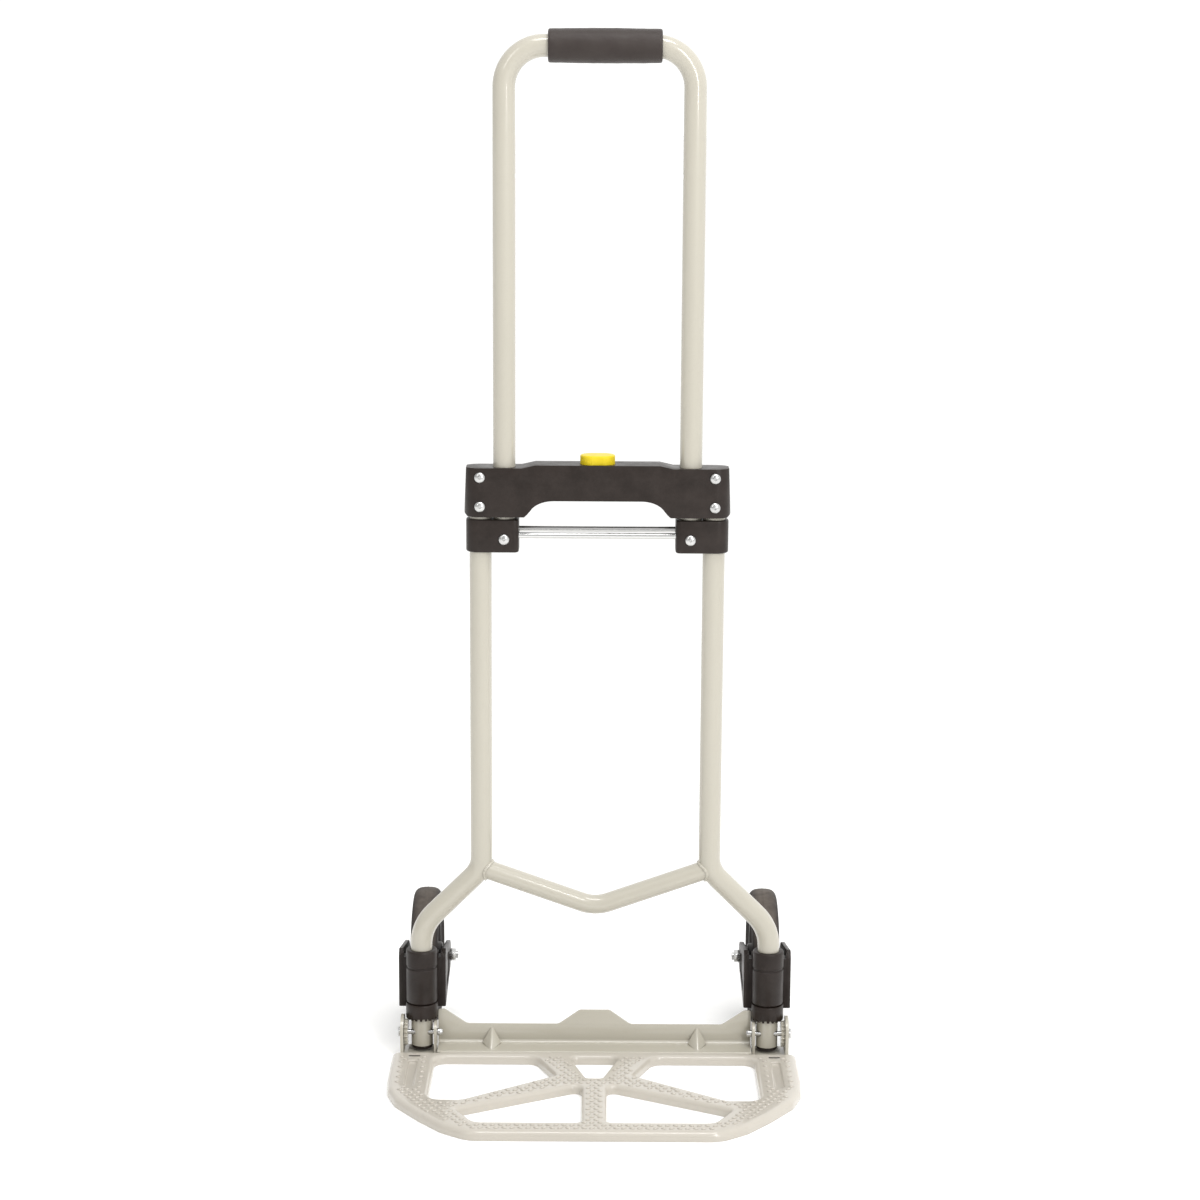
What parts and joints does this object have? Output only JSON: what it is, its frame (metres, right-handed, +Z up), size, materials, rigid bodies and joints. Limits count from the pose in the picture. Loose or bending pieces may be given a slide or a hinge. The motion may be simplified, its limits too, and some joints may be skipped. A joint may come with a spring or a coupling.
{
  "type": "folding luggage cart",
  "caption": "Folding luggage cart with a telescoping handle, push-button clamp, hinged slotted toe plate and wheels that swing in as the plate folds up.",
  "frame": {"origin": "centre of the footprint, on the floor", "axes": "+Z up along the handle, -Y towards the front edge of the toe plate, +X across the cart"},
  "size_m": [0.402, 0.3902, 1.0078],
  "materials": {
    "painted_frame": "smooth light warm grey enamel",
    "gear_metal": "light warm grey enamel, worn at the teeth",
    "black_plastic": "fine-grained moulded black plastic",
    "rim_plastic": "moulded black plastic",
    "tyre_rubber": "matt rubber with shallow tread",
    "foam_grip": "soft matt foam rubber",
    "yellow_plastic": "satin yellow plastic",
    "zinc_fasteners": "bright zinc plate",
    "bright_rod": "bright drawn steel",
    "inner_steel": "plain steel"
  },
  "bodies": {
    "frame": {"frame_tube_left": "painted_frame", "frame_tube_right": "painted_frame", "crossbar": "painted_frame", "clamp_housing": "black_plastic", "clamp_screw_upper_left": "zinc_fasteners", "clamp_screw_upper_right": "zinc_fasteners", "clamp_screw_lower_left": "zinc_fasteners", "clamp_screw_lower_right": "zinc_fasteners", "tube_plug_left": "black_plastic", "tube_plug_right": "black_plastic", "button_spring": "inner_steel"},
    "handle": {"handle_tube": "painted_frame", "handle_grip": "foam_grip", "slider_left": "black_plastic", "slider_right": "black_plastic", "slider_screw_left": "zinc_fasteners", "slider_screw_right": "zinc_fasteners", "guide_rod_front": "bright_rod", "guide_rod_rear": "bright_rod"},
    "button": {"release_button": "yellow_plastic"},
    "lock_pin_left_body": {"lock_pin_left": "inner_steel"},
    "lock_pin_right_body": {"lock_pin_right": "inner_steel"},
    "toe_plate_body": {"toe_plate": "painted_frame", "hinge_bracket_left": "painted_frame", "hinge_bracket_right": "painted_frame", "hinge_gear_left": "gear_metal", "hinge_gear_right": "gear_metal", "hinge_pin_left": "zinc_fasteners", "hinge_pin_right": "zinc_fasteners", "hinge_nut_left": "zinc_fasteners", "hinge_nut_right": "zinc_fasteners"},
    "fork_left_body": {"fork_left": "black_plastic", "crown_gear_left": "black_plastic", "axle_bolt_left": "zinc_fasteners", "axle_nut_left": "zinc_fasteners"},
    "wheel_left_body": {"tyre_left": "tyre_rubber", "wheel_rim_left": "rim_plastic", "hub_bush_left": "inner_steel"},
    "fork_right_body": {"fork_right": "black_plastic", "crown_gear_right": "black_plastic", "axle_bolt_right": "zinc_fasteners", "axle_nut_right": "zinc_fasteners"},
    "wheel_right_body": {"tyre_right": "tyre_rubber", "wheel_rim_right": "rim_plastic", "hub_bush_right": "inner_steel"}
  },
  "joints": [
    {"name": "handle_slide", "type": "slide", "parent": "frame", "child": "handle", "axis": [0, 0, 1], "range_m": [-0.29, 0]},
    {"name": "button_press", "type": "slide", "parent": "frame", "child": "button", "axis": [0, 0, -1], "range_m": [0, 0.005], "stiffness_N_per_m": 300, "springref_m": -0.003, "deforming": ["button_spring"]},
    {"name": "lock_pin_left_slide", "type": "slide", "parent": "frame", "child": "lock_pin_left_body", "axis": [1, 0, 0], "range_m": [0, 0.004]},
    {"name": "lock_pin_right_slide", "type": "slide", "parent": "frame", "child": "lock_pin_right_body", "axis": [-1, 0, 0], "range_m": [0, 0.004]},
    {"name": "toe_plate_fold", "type": "hinge", "parent": "frame", "child": "toe_plate_body", "pos_m": [0, 0.0261, 0.023], "axis": [-1, 0, 0], "range_deg": [0, 85]},
    {"name": "fork_left_swing", "type": "hinge", "parent": "frame", "child": "fork_left_body", "pos_m": [-0.173, 0.0321, 0], "axis": [0, 0, -1], "range_deg": [0, 73]},
    {"name": "wheel_left_spin", "type": "hinge", "parent": "fork_left_body", "child": "wheel_left_body", "pos_m": [-0.173, 0.1251, 0.07], "axis": [1, 0, 0], "continuous": true},
    {"name": "fork_right_swing", "type": "hinge", "parent": "frame", "child": "fork_right_body", "pos_m": [0.173, 0.0321, 0], "axis": [0, 0, 1], "range_deg": [0, 73]},
    {"name": "wheel_right_spin", "type": "hinge", "parent": "fork_right_body", "child": "wheel_right_body", "pos_m": [0.173, 0.1251, 0.07], "axis": [1, 0, 0], "continuous": true}
  ],
  "couplings": [
    {"joint": "lock_pin_left_slide", "follows": "button_press", "ratio": 0.8},
    {"joint": "lock_pin_right_slide", "follows": "button_press", "ratio": 0.8},
    {"joint": "fork_left_swing", "follows": "toe_plate_fold", "ratio": 0.847},
    {"joint": "fork_right_swing", "follows": "toe_plate_fold", "ratio": 0.847}
  ]
}
